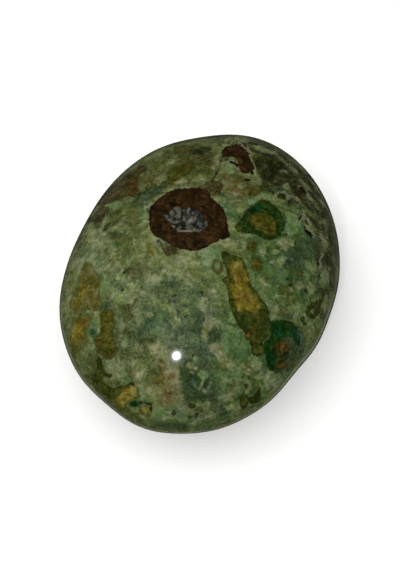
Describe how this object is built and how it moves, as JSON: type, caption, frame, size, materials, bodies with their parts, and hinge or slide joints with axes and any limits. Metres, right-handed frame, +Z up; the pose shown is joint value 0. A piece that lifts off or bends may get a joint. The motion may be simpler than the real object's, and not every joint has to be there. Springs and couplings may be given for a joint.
{
  "type": "turquoise stone",
  "caption": "Plump oval pebble of polished green turquoise with brown and ochre matrix patches, small pits and a flat spot underneath to rest on.",
  "frame": {"origin": "on the plane that the stone rests on, under the middle of its bounding box", "axes": "+Z up, away from the flat resting spot; +Y along the stone's length; +X across its width"},
  "size_m": [0.0354, 0.0452, 0.0225],
  "materials": {
    "polished_turquoise": "polished"
  },
  "bodies": {
    "root": {"stone": "polished_turquoise"}
  },
  "joints": []
}
